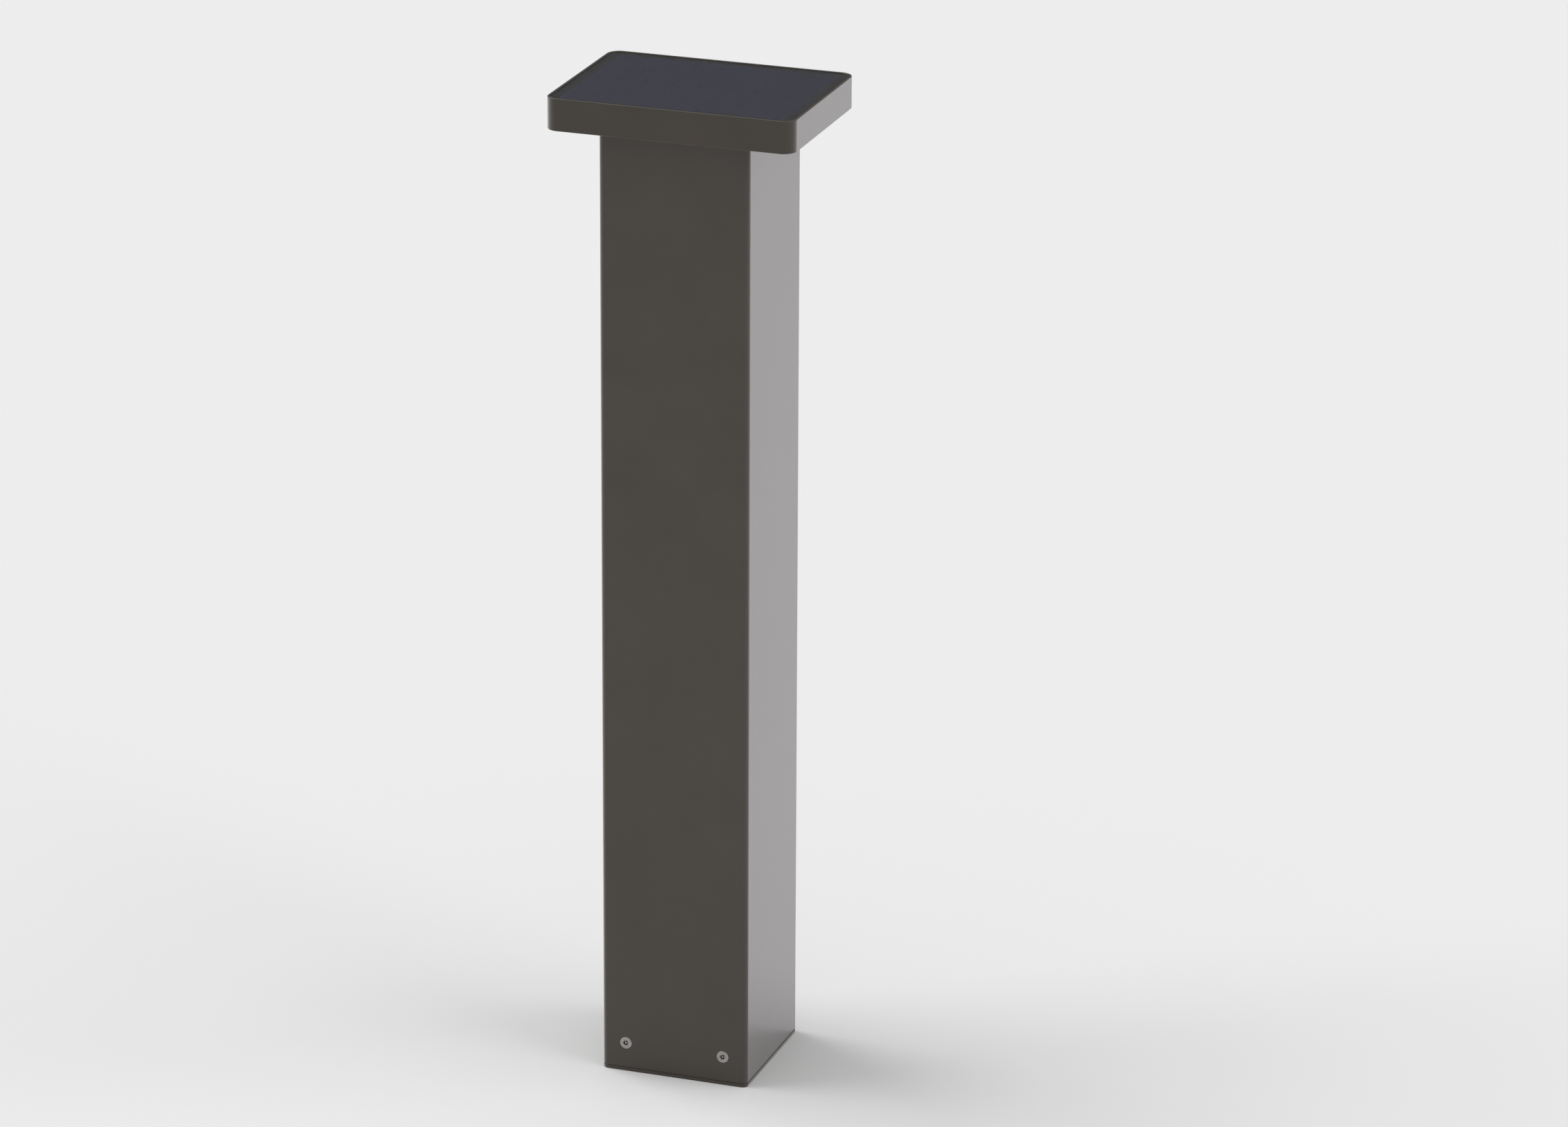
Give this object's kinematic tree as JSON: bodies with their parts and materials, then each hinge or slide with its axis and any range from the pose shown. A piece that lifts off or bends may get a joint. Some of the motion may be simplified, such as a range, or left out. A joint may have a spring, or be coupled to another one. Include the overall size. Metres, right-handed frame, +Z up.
{
  "type": "bollard light",
  "caption": "Solar bollard light: square column on a bolted base plate, with a flat rectangular head that holds a glass solar panel and shines down from its overhangs.",
  "frame": {"origin": "centre of the base plate's underside, on the ground", "axes": "+Z up the column, -Y out of the front face, +X to the right seen from the front; the head's long side runs along X"},
  "size_m": [0.25, 0.183, 1],
  "materials": {
    "bronze_coat": "satin bronze-grey powder coat with a fine texture, on aluminium",
    "stainless": "passivated stainless, slightly dull",
    "zinc_steel": "bright zinc plate",
    "gasket_rubber": "matt black rubber",
    "panel_seal": "satin black silicone bead",
    "case_plastic": "moulded black plastic",
    "cell_sleeve": "blue shrink sleeve on a metal can",
    "nickel": "nickel strip",
    "circuit_board": "green solder mask",
    "cable_jacket": "matt black cable jacket",
    "red_wire": "red silicone wire",
    "panel_glass": "tempered low-iron glass, lightly textured",
    "solar_cell": "dark blue-black monocrystalline silicon",
    "backsheet": "black laminate",
    "opal_lens": "opal polycarbonate",
    "white_board": "white solder mask on aluminium",
    "led_phosphor": "yellow phosphor",
    "clear_optic": "clear acrylic",
    "spreader_aluminium": "mill-finish aluminium",
    "vent_plastic": "moulded black plastic",
    "membrane": "white porous membrane",
    "bezel_steel": "turned stainless",
    "button_plastic": "satin black moulding",
    "spring_steel": "bright spring wire"
  },
  "bodies": {
    "light": {"base_plate": "bronze_coat", "base_gasket": "gasket_rubber", "base_screws_front": "stainless", "base_screws_rear": "stainless", "column_tube": "bronze_coat", "gear_tray": "zinc_steel", "tray_screws": "zinc_steel", "battery_case": "case_plastic", "battery_cells": "cell_sleeve", "cell_links": "nickel", "protection_board": "circuit_board", "battery_lid": "case_plastic", "lid_screws": "zinc_steel", "battery_clamp": "zinc_steel", "clamp_screws": "zinc_steel", "battery_gland": "case_plastic", "battery_cable": "cable_jacket", "connector_socket": "case_plastic", "connector_plug": "case_plastic", "column_cable": "cable_jacket", "head_housing": "bronze_coat", "head_gasket": "gasket_rubber", "head_screws": "zinc_steel", "cable_grommet": "gasket_rubber", "pv_glass": "panel_glass", "pv_cells": "solar_cell", "pv_backsheet": "backsheet", "pv_junction": "case_plastic", "panel_seal": "panel_seal", "panel_leads": "cable_jacket", "controller_board": "circuit_board", "controller_parts": "case_plastic", "controller_screws": "zinc_steel", "lens_left": "opal_lens", "lens_right": "opal_lens", "lens_gasket_left": "gasket_rubber", "lens_gasket_right": "gasket_rubber", "led_board_left": "white_board", "led_board_right": "white_board", "led_chips_left": "led_phosphor", "led_chips_right": "led_phosphor", "led_optics_left": "clear_optic", "led_optics_right": "clear_optic", "heat_spreader_left": "spreader_aluminium", "heat_spreader_right": "spreader_aluminium", "spreader_screws": "zinc_steel", "led_leads_left": "red_wire", "led_leads_right": "red_wire", "vent_plug": "vent_plastic", "vent_membrane": "membrane", "vent_seal": "gasket_rubber", "button_body": "bezel_steel", "button_spring": "spring_steel", "button_nut": "zinc_steel", "button_seal": "gasket_rubber", "button_switch": "case_plastic", "button_leads": "red_wire"},
    "button": {"button_cap": "button_plastic"}
  },
  "joints": [
    {"name": "button_press", "type": "slide", "parent": "light", "child": "button", "axis": [0, 0, 1], "range_m": [0, 0.0012], "stiffness_N_per_m": 1500, "springref_m": -0.0008, "deforming": ["button_spring"]}
  ]
}
